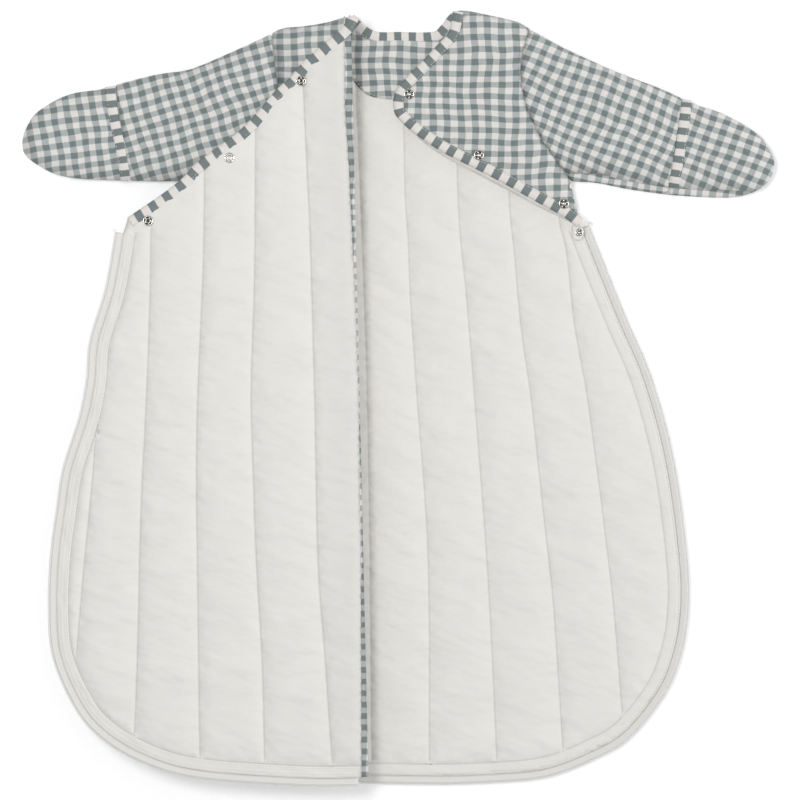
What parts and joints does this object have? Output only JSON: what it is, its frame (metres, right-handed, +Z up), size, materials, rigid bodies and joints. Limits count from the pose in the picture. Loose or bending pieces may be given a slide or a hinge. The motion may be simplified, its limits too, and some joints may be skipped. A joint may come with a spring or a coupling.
{
  "type": "baby sleeping bag",
  "caption": "Padded baby sleeping bag with gingham sleeves, fold-over mitts and wrap bodice, laid flat with its zipped front panel turned open.",
  "frame": {"origin": "on the floor under the middle of the laid-out bag", "axes": "+Y towards the neck, +X towards the sleeve on the picture's right, +Z up from the floor"},
  "size_m": [0.68, 0.7004, 0.0405],
  "materials": {
    "gingham": "matte woven cotton with quarter-inch checks",
    "binding": "matte woven cotton binding with one row of checks",
    "lining": "matte brushed cotton, quilted",
    "wadding": "soft polyester wadding",
    "zip_tape": "ribbed woven tape",
    "zip_coil": "satin nylon",
    "snap_metal": "bright nickel",
    "zip_metal": "satin enamel"
  },
  "bodies": {
    "bag": {"back_shell": "gingham", "back_wadding": "wadding", "back_lining": "lining", "neck_facing": "gingham", "neck_binding": "binding", "front_left_shell": "gingham", "front_left_wadding": "wadding", "front_left_lining": "lining", "front_left_hem": "lining", "front_fold": "lining", "left_side_seam": "gingham", "left_shoulder_seam": "gingham", "right_bodice_shell": "gingham", "right_bodice_wadding": "wadding", "right_bodice_lining": "lining", "right_bodice_binding": "binding", "right_shoulder_seam": "gingham", "bodice_snap_studs": "snap_metal", "bodice_snap_rings": "snap_metal", "zip_guard_tab": "zip_tape", "zip_guard_snap": "snap_metal", "left_sleeve_back": "gingham", "left_sleeve_front": "gingham", "right_sleeve_back": "gingham", "right_sleeve_front": "gingham", "back_zip_tape": "zip_tape", "back_zip_coil": "zip_coil", "front_left_zip_tape": "zip_tape", "front_left_zip_coil": "zip_coil", "zip_end_stop": "zip_metal", "back_zip_stop": "zip_metal"},
    "flap": {"flap_shell": "gingham", "flap_wadding": "wadding", "flap_lining": "lining", "flap_binding": "binding", "flap_snap_sockets": "snap_metal", "flap_snap_rings": "snap_metal", "flap_zip_tape": "zip_tape", "flap_zip_coil": "zip_coil", "flap_zip_stop": "zip_metal"},
    "left_mitt": {"left_mitt_back": "gingham", "left_mitt_front": "gingham", "left_cuff_binding": "binding"},
    "right_mitt": {"right_mitt_back": "gingham", "right_mitt_front": "gingham", "right_cuff_binding": "binding"},
    "slider": {"zip_slider": "zip_metal"},
    "pull": {"zip_pull": "zip_metal"}
  },
  "joints": [
    {"name": "front_flap", "type": "hinge", "parent": "bag", "child": "flap", "pos_m": [-0.0347, 0, 0.0311], "axis": [-0.0234, 0.9997, 0], "range_deg": [0, 180]},
    {"name": "left_mitt_fold", "type": "hinge", "parent": "bag", "child": "left_mitt", "pos_m": [-0.24975, 0.23963, 0.0239], "axis": [-0.1546, 0.988, 0], "range_deg": [0, 170]},
    {"name": "right_mitt_fold", "type": "hinge", "parent": "bag", "child": "right_mitt", "pos_m": [0.24975, 0.22637, 0.0194], "axis": [-0.1504, -0.9886, 0], "range_deg": [0, 170]},
    {"name": "slider_travel", "type": "slide", "parent": "bag", "child": "slider", "axis": [1, 0, 0], "range_m": [0, 0.065]},
    {"name": "pull_swing", "type": "hinge", "parent": "slider", "child": "pull", "pos_m": [-0.162, -0.3392, 0.0066], "axis": [0, 0, -1], "range_deg": [0, 170]}
  ]
}
